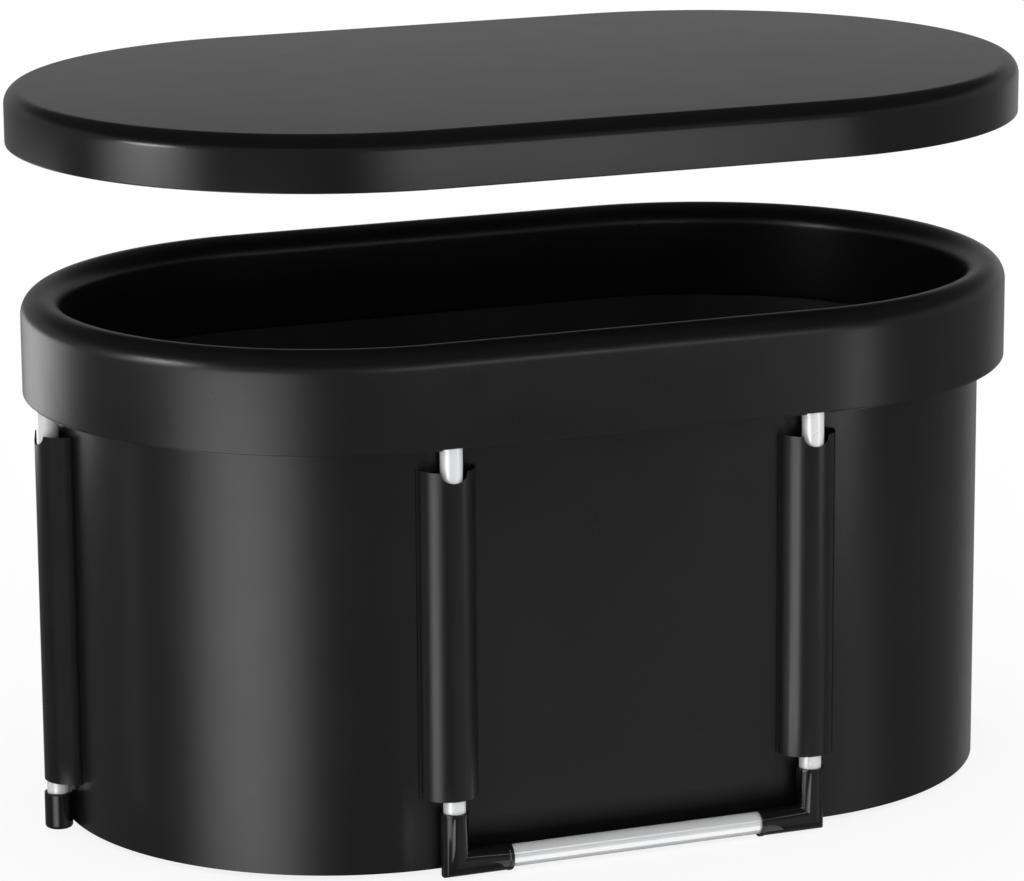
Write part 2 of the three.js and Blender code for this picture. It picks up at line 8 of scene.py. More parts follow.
import bmesh
import bpy
import numpy as np
from mathutils import Matrix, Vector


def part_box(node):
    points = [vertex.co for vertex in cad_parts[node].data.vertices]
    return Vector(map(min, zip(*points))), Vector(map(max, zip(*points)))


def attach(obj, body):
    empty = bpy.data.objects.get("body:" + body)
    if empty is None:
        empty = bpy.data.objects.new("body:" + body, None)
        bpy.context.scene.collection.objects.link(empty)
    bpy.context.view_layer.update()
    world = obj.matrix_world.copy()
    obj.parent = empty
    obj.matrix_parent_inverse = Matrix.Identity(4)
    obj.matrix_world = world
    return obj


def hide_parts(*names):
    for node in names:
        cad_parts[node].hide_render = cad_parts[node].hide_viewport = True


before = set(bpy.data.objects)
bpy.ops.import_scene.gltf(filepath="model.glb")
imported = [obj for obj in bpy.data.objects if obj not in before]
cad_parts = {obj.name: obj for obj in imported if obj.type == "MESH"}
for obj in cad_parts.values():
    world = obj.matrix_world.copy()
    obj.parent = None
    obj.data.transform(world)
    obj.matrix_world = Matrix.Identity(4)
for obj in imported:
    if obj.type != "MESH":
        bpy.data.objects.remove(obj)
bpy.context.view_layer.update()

# %% [markdown]
# ## Sizes
# A solid's box already says where it is, so most sizes are read from the
# frame. Only what a box can't tell, such as the width of the roll or the
# radius of a rounded edge, is written here, in metres.

# %% Sizes of the tub
wall_low, wall_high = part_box("outer_wall")
BODY_RADIUS = wall_high.y
HALF = wall_high.x - wall_high.y
FLOOR_GAP = wall_low.z
WALL_TOP = wall_high.z

collar_low, collar_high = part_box("collar_cover")
COLLAR_OUTER = collar_high.y
COLLAR_BOTTOM = collar_low.z
RIM = collar_high.z
COLLAR_WIDTH = 0.046
COLLAR_INNER = COLLAR_OUTER - COLLAR_WIDTH

lid_low, lid_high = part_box("lid_cover")
LID_OUTER = lid_high.y
LID_BOTTOM = lid_low.z
LID_CROWN = 0.004
LID_EDGE_RADIUS = 0.018

pole_low, pole_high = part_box("pole_front_left")
POLE_RADIUS = (pole_high.x - pole_low.x) / 2
POLE_WALL = 0.0012
FIT = 0.0003
print("body radius", BODY_RADIUS, "straight", 2 * HALF, "pole radius", POLE_RADIUS)

# %% [markdown]
# ## The camera
# The photograph is taken from the front left, a little above the rim, with a
# long lens. Its place and its turns were found by fitting the oval outlines of
# the lid, the collar and the base.

# %% Camera
CAMERA_PLACE = np.array([-1.97785, -4.99339, 1.70111])
CAMERA_YAW = 0.37526
CAMERA_PITCH = 0.238
CAMERA_ROLL = -0.0065
LENS = 167.11
SENSOR_WIDTH = 36.0
FAR_CLIP = 100.0


def camera_axes(yaw, pitch, roll):
    """Right, up and forward of a camera that first turns to the right by yaw,
    then looks down by pitch, then rolls about its line of sight."""
    forward = np.array([np.sin(yaw) * np.cos(pitch), np.cos(yaw) * np.cos(pitch), -np.sin(pitch)])
    level = np.array([np.cos(yaw), -np.sin(yaw), 0.0])
    above = np.cross(level, forward)
    right = np.cos(roll) * level + np.sin(roll) * above
    up = np.cos(roll) * above - np.sin(roll) * level
    return right, up, forward


camera = bpy.data.objects.new("camera", bpy.data.cameras.new("camera"))
camera.data.lens = LENS
camera.data.sensor_width = SENSOR_WIDTH
camera.data.clip_end = FAR_CLIP
right, up, forward = camera_axes(CAMERA_YAW, CAMERA_PITCH, CAMERA_ROLL)
turned_frame = np.eye(4)
turned_frame[:3] = np.column_stack([right, up, -forward, CAMERA_PLACE])
camera.matrix_world = Matrix(turned_frame.tolist())
bpy.context.scene.collection.objects.link(camera)
bpy.context.scene.camera = camera
print("camera", camera.location)

# %% [markdown]
# ## From a grid of points to a mesh
# Each surface here is a grid: rows along one parameter, columns along the
# other. Four neighbours make a face. A direction that comes back to its start
# is closed, and a row that shrinks to a point or a line is joined up. The map
# stored with the mesh measures the surface in metres, so that a weave keeps
# its scale.

# %% Grid helpers
JOIN_DISTANCE = 1e-6
EMPTY_DISTANCE = 1e-7
CREASE = 40


def lengths(points):
    """Distances along a row of points, from its first point."""
    return np.concatenate([[0.0], np.cumsum(np.linalg.norm(np.diff(points, axis=0), axis=1))])


def closed_lengths(points):
    """The same for a closed row, with one more distance, back to its start."""
    return lengths(np.concatenate([points, points[:1]]))


def grid_mesh(name, points, rows_closed, columns_closed, left_out):
    """A mesh whose faces join each grid point to the next column and the next
    row, with a UV map of the distances along the longest row and column."""
    rows, columns = points.shape[:2]
    row, column = np.meshgrid(
        np.arange(rows if rows_closed else rows - 1),
        np.arange(columns if columns_closed else columns - 1),
        indexing="ij",
    )
    if left_out is not None:
        row, column = row[~left_out], column[~left_out]
    next_row, next_column = (row + 1) % rows, (column + 1) % columns
    corners = [(row, column), (row, next_column), (next_row, next_column), (next_row, column)]
    faces = np.stack([r * columns + c for r, c in corners], axis=-1).reshape(-1, 4)
    around = np.linalg.norm(np.diff(points, axis=1), axis=2).sum(axis=1)
    along = closed_lengths(points[np.argmax(around)])
    across = closed_lengths(points[:, 0])
    u = np.stack([along[column], along[column + 1], along[column + 1], along[column]], axis=-1)
    v = np.stack([across[row], across[row], across[row + 1], across[row + 1]], axis=-1)
    mesh = bpy.data.meshes.new(name)
    mesh.from_pydata(points.reshape(-1, 3), [], faces)
    layer = mesh.uv_layers.new(name="cloth")
    layer.data.foreach_set("uv", np.stack([u, v], axis=-1).astype(np.float32).ravel())
    return mesh


def tidy_mesh(mesh, crease):
    """Joins points that lie on each other, drops the faces that this empties,
    and keeps edges sharper than the crease angle sharp."""
    work = bmesh.new()
    work.from_mesh(mesh)
    bmesh.ops.remove_doubles(work, verts=work.verts, dist=JOIN_DISTANCE)
    bmesh.ops.dissolve_degenerate(work, edges=work.edges, dist=EMPTY_DISTANCE)
    work.to_mesh(mesh)
    work.free()
    mesh.shade_smooth()
    mesh.set_sharp_from_angle(angle=np.radians(crease))
    mesh.update()


def add_piece(name, points, body, finish, replaces=(),
              rows_closed=False, columns_closed=True, left_out=None, crease=CREASE):
    """Puts a grid into the scene as a piece that rides on a body."""
    mesh = grid_mesh(name, points, rows_closed, columns_closed, left_out)
    tidy_mesh(mesh, crease)
    piece = bpy.data.objects.new(name, mesh)
    bpy.context.scene.collection.objects.link(piece)
    mesh.materials.append(finish)
    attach(piece, body)
    if replaces:
        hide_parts(*replaces)
    print(name, len(mesh.vertices), "points", len(mesh.polygons), "faces")
    return piece


def thicken(piece, thickness, outwards):
    """Gives a sheet its thickness, on the side that its faces point to or on
    the other side, and keeps its cut edges sharp."""
    solidify = piece.modifiers.new("cloth thickness", "SOLIDIFY")
    solidify.thickness = thickness
    solidify.offset = 1.0 if outwards else -1.0
    solidify.use_even_offset = True
    shape = piece.evaluated_get(bpy.context.evaluated_depsgraph_get())
    piece.data = bpy.data.meshes.new_from_object(shape)
    piece.modifiers.clear()
    tidy_mesh(piece.data, CREASE)
    return piece


# %% [markdown]
# ## Shapes that come back
# Two moves make nearly every piece. A profile carried round the oval makes the
# wall, the collar and the lid. A profile turned about an axis makes the poles,
# the bars, the caps and the drain.


# %% Profiles
ARC_COLUMNS = 96
SIDE_COLUMNS = 72
ROUND_COLUMNS = 72


def spots(x, y, z):
    """Points from their coordinates, which may be numbers, rows or grids."""
    return np.stack(np.broadcast_arrays(x, y, z), axis=-1)


def oval_stations(arc_columns, side_columns):
    """Stations anticlockwise round the oval, from the front right corner: for
    each, the place on the middle line that it is measured from and the way
    that it faces."""
    swing = np.linspace(-np.pi / 2, np.pi / 2, arc_columns, endpoint=False)
    run = np.linspace(1.0, -1.0, side_columns, endpoint=False)
    place = np.concatenate([np.ones(arc_columns), run])
    facing = np.concatenate([swing, np.full(side_columns, np.pi / 2)])
    return HALF * np.concatenate([place, -place]), np.concatenate([facing, facing + np.pi])


middle_line, facing_out = oval_stations(ARC_COLUMNS, SIDE_COLUMNS)


def round_the_oval(profile):
    """Each row of the profile is a reach and a height. A point lies at that
    reach from the middle line, the way its station faces, at that height."""
    reach, height = profile[:, :1], profile[:, 1:]
    x = middle_line + reach * np.cos(facing_out)
    y = reach * np.sin(facing_out)
    return spots(x, y, height)


def turned(profile, columns=ROUND_COLUMNS):
    """Each row of the profile is a radius and a height. A point lies at that
    radius from the upright axis, at the angle of its column."""
    angle = np.linspace(0.0, 2 * np.pi, columns, endpoint=False)
    radius, height = profile[:, :1], profile[:, 1:]
    x, y = radius * np.cos(angle), radius * np.sin(angle)
    return spots(x, y, height)


def arc(middle, radius, start, end, steps=8):
    """Points on part of a circle, from a start angle to an end angle in
    degrees."""
    angle = np.radians(np.linspace(start, end, steps + 1))
    return np.column_stack([middle[0] + radius * np.cos(angle), middle[1] + radius * np.sin(angle)])


def line(start, end, steps=1):
    """Evenly spaced points on a straight line."""
    return np.linspace(start, end, steps + 1)


def outline(*parts):
    """Lines and arcs, one after the other, as one row of points."""
    points = np.concatenate([np.atleast_2d(part) for part in parts])
    moved = np.linalg.norm(np.diff(points, axis=0), axis=1) > EMPTY_DISTANCE
    return points[np.concatenate([[True], moved])]


print("oval with", len(middle_line), "columns")

# %% [markdown]
# ## Finishes
# Nothing here is a picture. Each finish is a small network of nodes that reads
# either the place of a point on the object or the map on its cloth. The tub is
# near black everywhere, so what tells one piece from another is how it shines:
# satin coated cloth, a smoother lid, matt lining, glossy plastic, bright tube.

# %% Finish helpers
NOISE_DETAIL = 3.0
NOISE_LOW, NOISE_HIGH = 0.3, 0.7
BANDS_APART = 2 * np.pi / 20
WHITE = (1.0, 1.0, 1.0, 1.0)


def new_finish(name, roughness, metallic=0.0, specular=0.5):
    """A material with its constant values set on the shader itself."""
    finish = bpy.data.materials.new(name)
    finish.use_nodes = True
    shader = finish.node_tree.nodes["Principled BSDF"]
    shader.inputs["Roughness"].default_value = roughness
    shader.inputs["Metallic"].default_value = metallic
    shader.inputs["Specular IOR Level"].default_value = specular
    return finish, finish.node_tree, shader


def add_node(tree, kind, inputs, output):
    """Adds a node, links or sets each of its inputs, and gives one of its outputs."""
    node = tree.nodes.new(kind)
    for socket, value in inputs.items():
        if isinstance(value, bpy.types.NodeSocket):
            tree.links.new(value, node.inputs[socket])
        else:
            node.inputs[socket].default_value = value
    return node.outputs[output]


def noise(tree, source, scale):
    """Soft noise read at the given coordinates."""
    inputs = {"Vector": source, "Scale": scale, "Detail": NOISE_DETAIL}
    return add_node(tree, "ShaderNodeTexNoise", inputs, "Fac")


def two_tone(tree, fac, dark, light):
    """A colour that goes from dark to light as the noise goes from low to high."""
    colour = add_node(tree, "ShaderNodeValToRGB", {"Fac": fac}, "Color")
    stops = colour.node.color_ramp.elements
    for stop, position, tone in zip(stops, (NOISE_LOW, NOISE_HIGH), (dark, light)):
        stop.position = position
        stop.color = (*tone, 1.0)
    return colour


def spread(tree, fac, low, high):
    """A value that goes from low to high as the noise does."""
    inputs = {"Value": fac, "From Min": NOISE_LOW, "From Max": NOISE_HIGH,
              "To Min": low, "To Max": high}
    return add_node(tree, "ShaderNodeMapRange", inputs, "Result")


def multiply(tree, first, second):
    """One value times another."""
    product = add_node(tree, "ShaderNodeMath", {0: first, 1: second}, "Value")
    product.node.operation = "MULTIPLY"
    return product


def weave(tree, source, thread):
    """A plain weave: bands one way times bands the other way, one thread apart,
    read on the cloth's own map. The scale is how far apart the texture's bands are
    by themselves, over the thread."""
    bands = []
    for direction in ("X", "Y"):
        inputs = {"Vector": source, "Scale": BANDS_APART / thread}
        bands.append(add_node(tree, "ShaderNodeTexWave", inputs, "Fac"))
        bands[-1].node.bands_direction = direction
    return multiply(tree, *bands)


def raise_bump(tree, shader, height, distance, strength):
    """Turns a height into small slopes on the surface."""
    inputs = {"Height": height, "Distance": distance, "Strength": strength}
    tree.links.new(add_node(tree, "ShaderNodeBump", inputs, "Normal"), shader.inputs["Normal"])


def mix_shaders(tree, part, first, second):
    """The first shader where the part is 0, the second where it is 1."""
    return add_node(tree, "ShaderNodeMixShader", {0: part, 1: first, 2: second}, "Shader")


# %% [markdown]
# Coated cloth is a woven polyester scrim under a skin of soft plastic. The
# scrim shows through as a faint weave, the skin is satin, and its sheen varies
# a little from place to place.

# %% Cloth finishes
CLOTH_CLOUD, CLOTH_PATCH = 9.0, 23.0
WEAVE_STRENGTH = 0.25


def uneven_finish(name, tones, shine, cloud, patch, metallic=0.0):
    """A finish whose colour varies with one noise and its roughness with another."""
    finish, tree, shader = new_finish(name, shine[0], metallic)
    place = tree.nodes.new("ShaderNodeTexCoord").outputs
    colour = two_tone(tree, noise(tree, place["Object"], cloud), *tones)
    tree.links.new(colour, shader.inputs["Base Color"])
    rough = spread(tree, noise(tree, place["Object"], patch), *shine)
    tree.links.new(rough, shader.inputs["Roughness"])
    return finish, tree, shader, place


def coated_cloth(name, tones, shine, thread, relief):
    """Satin coated cloth: two near blacks, an uneven sheen, a faint weave."""
    greys = [(tone,) * 3 for tone in tones]
    finish, tree, shader, place = uneven_finish(name, greys, shine, CLOTH_CLOUD, CLOTH_PATCH)
    raise_bump(tree, shader, weave(tree, place["UV"], thread), relief, WEAVE_STRENGTH)
    return finish


body_cloth = coated_cloth("body cloth", tones=(0.0035, 0.005), shine=(0.27, 0.3),
                          thread=0.0011, relief=0.00006)
lid_cloth = coated_cloth("lid cloth", tones=(0.0025, 0.0035), shine=(0.2, 0.215),
                         thread=0.0009, relief=0.00004)
lining_cloth = coated_cloth("lining cloth", tones=(0.016, 0.024), shine=(0.42, 0.5),
                            thread=0.0012, relief=0.00008)
print("cloths", [finish.name for finish in (body_cloth, lid_cloth, lining_cloth)])

# %% [markdown]
# The poles and bars are thin bright tube with fine scratches. The fittings are
# moulded in glossy black plastic, which is never perfectly flat.

# %% Hard finishes
TUBE = {
    "tones": ((0.89, 0.9, 0.91), (0.91, 0.915, 0.92)),
    "cloud": 14.0, "grain": 900.0, "depth": 0.00002, "strength": 0.03,
}
PLASTIC = {
    "tones": ((0.004,) * 3, (0.006,) * 3),
    "cloud": 35.0, "grain": 120.0, "depth": 0.0001, "strength": 0.1,
}


def hard_finish(name, shine, tones, cloud, grain, depth, strength, metallic=0.0):
    """Colour and shine vary together, over small slopes: scratches on the tube, the
    slow waves that a mould leaves on the plastic."""
    finish, tree, shader, place = uneven_finish(name, tones, shine, cloud, cloud, metallic)
    raise_bump(tree, shader, noise(tree, place["Object"], grain), depth, strength)
    return finish


tube_metal = hard_finish("bright tube", shine=(0.26, 0.28), metallic=0.2, **TUBE)
bar_metal = hard_finish("polished bar", shine=(0.2, 0.22), metallic=0.4, **TUBE)
gloss_black = hard_finish("glossy fitting", shine=(0.1, 0.14), **PLASTIC)
drain_black = hard_finish("drain plastic", shine=(0.25, 0.35), **PLASTIC)
seal_black = hard_finish("seal rubber", shine=(0.6, 0.75), **PLASTIC)
hard_finishes = (tube_metal, bar_metal, gloss_black, drain_black, seal_black)
print("hard finishes", [finish.name for finish in hard_finishes])

# %% [markdown]
# ## The wall
# The wall is one sheet of coated cloth round the oval, with a foam layer and a
# liner inside it. It hangs straight and smooth. At the back the drain goes
# through it, so the grid is drawn open there: the square of the grid round the
# drain is pushed out to a circle, the push fades with distance, and the faces
# inside the circle are left out.

# %% Wall and liner
drain_low, drain_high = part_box("drain_body")
DRAIN_HEIGHT = (drain_low.z + drain_high.z) / 2
SPIGOT_RADIUS = 0.018
HOLE_RADIUS = SPIGOT_RADIUS + FIT
HOLE_COLUMNS = 3
HOLE_SQUARE = HOLE_COLUMNS * 2 * HALF / SIDE_COLUMNS
HOLE_REACH = 0.05
HOLE_SLACK = 0.01
ROWS_BELOW, ROWS_ABOVE = 4, 32
NEARLY_ZERO = 1e-9
SKIN = 0.0015
LINER = 0.0012
liner_low, liner_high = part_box("inner_liner")
LINER_INNER = liner_high.y - LINER


def wall_heights(bottom, top):
    """Heights of the wall's rows, with rows at the edges of the drain's square."""
    below, above = DRAIN_HEIGHT - HOLE_SQUARE, DRAIN_HEIGHT + HOLE_SQUARE
    return np.concatenate([
        np.linspace(bottom, below, ROWS_BELOW, endpoint=False),
        np.linspace(below, above, 2 * HOLE_COLUMNS, endpoint=False),
        np.linspace(above, top, ROWS_ABOVE),
    ])


def open_for_drain(points):
    """Pushes the grid's square round the drain out to a circle. At the square's
    edge a point lands on the circle, and at the end of the push's reach it
    stays. Also tells which faces lie inside the square."""
    aside = points[..., 0]
    above = points[..., 2] - DRAIN_HEIGHT
    square = np.maximum(np.abs(aside), np.abs(above))
    distance = np.maximum(np.hypot(aside, above), NEARLY_ZERO)
    fade = np.clip((square - HOLE_SQUARE) / (HOLE_REACH - HOLE_SQUARE), 0.0, 1.0)
    scale = (1 - fade) * HOLE_RADIUS / distance + fade
    rear = points[..., 1] > 0
    pushed = rear & (square < HOLE_REACH) & (square > (1 - HOLE_SLACK) * HOLE_SQUARE)
    moved = points.copy()
    moved[..., 0] = np.where(pushed, aside * scale, aside)
    moved[..., 2] = np.where(pushed, above * scale, above) + DRAIN_HEIGHT
    near = rear & (square < (1 + HOLE_SLACK) * HOLE_SQUARE)
    beside = np.roll(near, -1, axis=1)
    left_out = near[:-1] & beside[:-1] & near[1:] & beside[1:]
    return moved, left_out


def wall_sheet(name, radius, heights, finish, replaces):
    """A sheet at one radius from the oval's middle line, open for the drain."""
    flat = round_the_oval(np.column_stack([np.full(len(heights), radius), heights]))
    points, left_out = open_for_drain(flat)
    return add_piece(name, points, "tub", finish, replaces, left_out=left_out)


wall = wall_sheet("wall_cloth", BODY_RADIUS, wall_heights(FLOOR_GAP, WALL_TOP), body_cloth,
                  ("outer_wall", "wall_foam"))
thicken(wall, SKIN, outwards=False)
liner = wall_sheet("liner_cloth", LINER_INNER, wall_heights(liner_low.z, liner_high.z)[::-1],
                   lining_cloth, ("inner_liner",))
thicken(liner, LINER, outwards=False)

# %% [markdown]
# ## The floor
# Two oval sheets with a foam pad between them close the tub from below. A filled
# oval is the same grid with its reach shrinking to nothing: the last row lies on
# the oval's middle line, where its two sides are joined.


# %% Floor sheets
EDGE_ROUND = 0.0006


def oval_plate(reach, bottom, top, rows=6):
    """Profile of a flat oval plate with a rounded edge, from the middle of its
    lower face round the edge to the middle of its upper face."""
    inset = reach - EDGE_ROUND
    inward = np.linspace(0.0, inset, rows)
    return outline(
        np.column_stack([inward, np.full(rows, bottom)]),
        arc((inset, bottom + EDGE_ROUND), EDGE_ROUND, -90, 0, 3),
        arc((inset, top - EDGE_ROUND), EDGE_ROUND, 0, 90, 3),
        np.column_stack([inward[::-1], np.full(rows, top)]),
    )


def floor_sheet(name, node, finish, replaces):
    """A flat oval sheet in the place of a solid of the frame."""
    low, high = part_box(node)
    profile = oval_plate(high.y, low.z, high.z)
    sheet = add_piece(name, round_the_oval(profile), "tub", finish, replaces)
    return sheet


floor_sheet("base_cloth", "base_sheet", body_cloth, ("base_sheet",))
floor_sheet("floor_cloth", "floor_liner", lining_cloth, ("floor_liner", "floor_foam"))

# %% [markdown]
# ## The collar
# The collar is a thick padded band that is folded over the rim. Its outside is
# flat and upright, its top is a half-round roll, and its lower edges are folded
# in. Inside it is a slot for the wall and room for the tops of the poles, so its
# section is an upside-down U.

# %% Collar
SLOT_ROOF = 0.006
FOLD = 0.002
collar_middle = (COLLAR_OUTER + COLLAR_INNER) / 2
collar_round = COLLAR_WIDTH / 2
collar_shoulder = RIM - collar_round
slot_face = LINER_INNER - FIT
inner_half = (slot_face - COLLAR_INNER) / 2
slot_top = WALL_TOP + SLOT_ROOF
cover_face = COLLAR_OUTER - SKIN

collar_profile = outline(
    arc((COLLAR_OUTER - SKIN / 2, COLLAR_BOTTOM + SKIN / 2), SKIN / 2, 180, 360, 6),
    line((COLLAR_OUTER, COLLAR_BOTTOM + FOLD), (COLLAR_OUTER, collar_shoulder), 14),
    arc((collar_middle, collar_shoulder), collar_round, 0, 180, 32),
    line((COLLAR_INNER, collar_shoulder), (COLLAR_INNER, COLLAR_BOTTOM + inner_half), 14),
    arc((COLLAR_INNER + inner_half, COLLAR_BOTTOM + inner_half), inner_half, 180, 360, 10),
    line((slot_face, COLLAR_BOTTOM + inner_half), (slot_face, slot_top), 6),
    line((slot_face, slot_top), (cover_face, slot_top), 4),
    line((cover_face, slot_top), (cover_face, COLLAR_BOTTOM + SKIN), 6),
)
collar = add_piece("collar", round_the_oval(collar_profile), "tub", body_cloth,
                   ("collar_cover", "collar_foam"), rows_closed=True)

# %% [markdown]
# A strip of the same cloth closes the collar from below. It is cut away in a half
# circle where each pole goes up into the collar, so its outer edge is a function
# of the distance to the nearest pole.

# %% Collar hem
hem_low, hem_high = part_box("collar_hem")
HEM_INNER = BODY_RADIUS + FIT
HEM_ARC_COLUMNS = 560
HEM_SIDE_COLUMNS = 320
POLE_NAMES = ("front_left", "front_right", "right_end", "rear_right", "rear_left", "left_end")


def pole_place(name):
    """Middle of a pole, seen from above."""
    low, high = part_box(f"pole_{name}")
    return np.array([(low.x + high.x) / 2, (low.y + high.y) / 2])


def hem_grid():
    """A flat strip between the wall and an outer edge that steps in round each
    pole: there the edge is the near side of a circle round the pole."""
    place, facing = oval_stations(HEM_ARC_COLUMNS, HEM_SIDE_COLUMNS)
    out = np.column_stack([np.cos(facing), np.sin(facing)])
    start = np.column_stack([place, np.zeros_like(place)])
    edge = np.full(len(place), hem_high.y)
    for name in POLE_NAMES:
        to_pole = pole_place(name) - start
        ahead = (to_pole * out).sum(axis=1)
        aside = np.abs(to_pole[:, 0] * out[:, 1] - to_pole[:, 1] * out[:, 0])
        room = POLE_RADIUS + FIT
        near_side = ahead - np.sqrt(np.maximum(room**2 - aside**2, 0.0))
        edge = np.where((aside < room) & (ahead > 0), np.minimum(edge, near_side), edge)
    reach = np.stack([np.full(len(place), HEM_INNER), edge])
    points = start + reach[..., None] * out
    return np.concatenate([points, np.full((*reach.shape, 1), hem_low.z)], axis=-1)


hem = add_piece("collar_hem_strip", hem_grid()[::-1], "tub", body_cloth, ("collar_hem",))
thicken(hem, SKIN, outwards=False)

# %% [markdown]
# ## The poles and the floor bars
# A pole is a thin tube that stands in its foot fitting and ends inside the
# collar. A floor bar is the same tube, lying between two elbows. Both are one
# closed profile turned about an axis, with the burr taken off the cut ends.

# %% Poles and bars
BURR = 0.0003


def tube_profile(outer, inner, start, end):
    """Closed profile of a tube: up its outside, back down its bore, with a small
    bevel at each of the four corners."""
    return outline(
        (outer - BURR, start),
        line((outer, start + BURR), (outer, end - BURR), 12),
        (outer - BURR, end),
        (inner + BURR, end),
        line((inner, end - BURR), (inner, start + BURR), 12),
        (inner + BURR, start),
    )


for name in POLE_NAMES:
    low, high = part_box(f"pole_{name}")
    grid = turned(tube_profile(POLE_RADIUS, POLE_RADIUS - POLE_WALL, low.z, high.z))
    grid[..., :2] += pole_place(name)
    add_piece(f"tube_{name}", grid, "tub", tube_metal, (f"pole_{name}",),
              rows_closed=True)


def laid_along_x(points):
    """An upright grid turned over onto the X axis."""
    return spots(points[..., 2], points[..., 1], -points[..., 0])


for side in ("front", "rear"):
    low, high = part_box(f"floor_bar_{side}")
    grid = laid_along_x(turned(tube_profile(POLE_RADIUS, POLE_RADIUS - POLE_WALL, low.x, high.x)))
    grid += np.array([0.0, (low.y + high.y) / 2, (low.z + high.z) / 2])
    add_piece(f"bar_{side}", grid, "tub", bar_metal, (f"floor_bar_{side}",),
              rows_closed=True)

# %% [markdown]
# ## The fittings
# An elbow is moulded in one piece: two round arms that meet in a mitre, with a
# raised lip and a socket in each arm. Going round an arm by one angle, the same
# angle works for both arms, so the whole fitting is one grid whose rows run from
# the bottom of one socket, over the outside, to the bottom of the other. The
# mitre is the row where both arms give the same points.

# %% Elbows
elbow_low, elbow_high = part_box("elbow_front_left")
elbow_axis = pole_place("front_left")
SOCKET_RADIUS = POLE_RADIUS + FIT
FITTING_RADIUS = elbow_axis[1] - elbow_low.y
LIP = 0.0007
LIP_LENGTH = 0.005
LIP_ROUND = 0.0005
ELBOW_RISE = elbow_high.z
ELBOW_REACH = elbow_high.x - elbow_axis[0]
ELBOW_SEAT = 0.018
CORNER_ROUND = 0.0012
ELBOW_CREASE = 30


def elbow_grid():
    """Rows of the lying arm, the mitre, then rows of the standing arm. On the
    lying arm a row is a circle across X, on the standing arm a circle across Z,
    and on the mitre each point takes its X and its Z from the same cosine. Two
    rows set back from the mitre round the corner a little."""
    angle = np.linspace(0.0, 2 * np.pi, ROUND_COLUMNS, endpoint=False)
    c, s = np.cos(angle), np.sin(angle)
    body = FITTING_RADIUS - LIP
    arm = outline(
        (0.0, ELBOW_SEAT),
        line((SOCKET_RADIUS, ELBOW_SEAT), (SOCKET_RADIUS, ELBOW_REACH - LIP_ROUND), 3),
        (SOCKET_RADIUS + LIP_ROUND, ELBOW_REACH),
        arc((FITTING_RADIUS - LIP_ROUND, ELBOW_REACH - LIP_ROUND), LIP_ROUND, 90, 0, 3),
        line((FITTING_RADIUS, ELBOW_REACH - LIP_LENGTH + LIP), (body, ELBOW_REACH - LIP_LENGTH)),
    )
    stand = arm + np.array([0.0, ELBOW_RISE - ELBOW_REACH])
    stand[:2, 1] = FITTING_RADIUS + ELBOW_SEAT
    lying = spots(arm[:, 1:], arm[:, :1] * s, FITTING_RADIUS + arm[:, :1] * c)
    standing = spots(stand[:, :1] * c, stand[:, :1] * s, stand[:, 1:])
    before = spots(body * c + CORNER_ROUND, body * s, FITTING_RADIUS + body * c)
    after = spots(body * c, body * s, FITTING_RADIUS + body * c + CORNER_ROUND)
    return np.concatenate([lying, before[None], after[None], standing[::-1]])


for name, way in (("front_left", 1), ("front_right", -1), ("rear_right", -1), ("rear_left", 1)):
    grid = elbow_grid()
    if way < 0:
        grid = (grid * np.array([-1.0, 1.0, 1.0]))[:, ::-1]
    grid[..., :2] += pole_place(name)
    add_piece(f"fitting_{name}", grid, "tub", gloss_black, (f"elbow_{name}",),
              crease=ELBOW_CREASE)

# %% [markdown]
# The end poles carry no bar, so each stands in a plain cup with a rounded foot.

# %% Foot caps
CAP_FLOOR = 0.005
CAP_ROUND = 0.004
cap_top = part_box("foot_cap_left_end")[1].z
cap_profile = outline(
    (0.0, 0.0),
    arc((FITTING_RADIUS - CAP_ROUND, CAP_ROUND), CAP_ROUND, -90, 0, 10),
    line((FITTING_RADIUS, CAP_ROUND), (FITTING_RADIUS, cap_top - LIP_ROUND), 8),
    arc((FITTING_RADIUS - LIP_ROUND, cap_top - LIP_ROUND), LIP_ROUND, 0, 90, 3),
    (SOCKET_RADIUS, cap_top),
    line((SOCKET_RADIUS, cap_top - LIP_ROUND), (SOCKET_RADIUS, CAP_FLOOR), 3),
    (0.0, CAP_FLOOR),
)
for name in ("left_end", "right_end"):
    grid = turned(cap_profile)
    grid[..., :2] += pole_place(name)
    add_piece(f"cup_{name}", grid, "tub", gloss_black, (f"foot_cap_{name}",))

# %% [markdown]
# Inside the collar each pole is closed with a plug. The plugs are out of sight, so
# the frame's own solids stay and only get their finish.

# %% Pole plugs
for name in POLE_NAMES:
    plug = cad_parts[f"pole_plug_{name}"]
    plug.data.materials.clear()
    plug.data.materials.append(gloss_black)
print("plugs", len(POLE_NAMES))

# %% [markdown]
# ## The sleeves
# A sleeve is a strip of the wall's cloth that holds a pole against the wall. It
# arches over the pole and is welded down along each side. Its lower edge is cut
# straight, and its top edge is scooped out so that the pole shows. The arch is
# half an ellipse from weld line to weld line. The scoop is half an ellipse in
# the flat cloth, so the cloth's own length across the sleeve is one parameter
# and the height is the other.

# %% Sleeve section
SLEEVE_SKIN = 0.0014
SLEEVE_EASE = 0.0005
SLEEVE_FOOT = 0.031
SLEEVE_FLANGE = 0.004
SCOOP_DEPTH = 0.012
SCOOP_HALF = 0.016
STANDOFF = -elbow_axis[1] - BODY_RADIUS
ARCH_STEPS = 64
SECTION_STEP = 0.0005
SECTION_SMOOTH = 5
SLEEVE_ROWS = 16


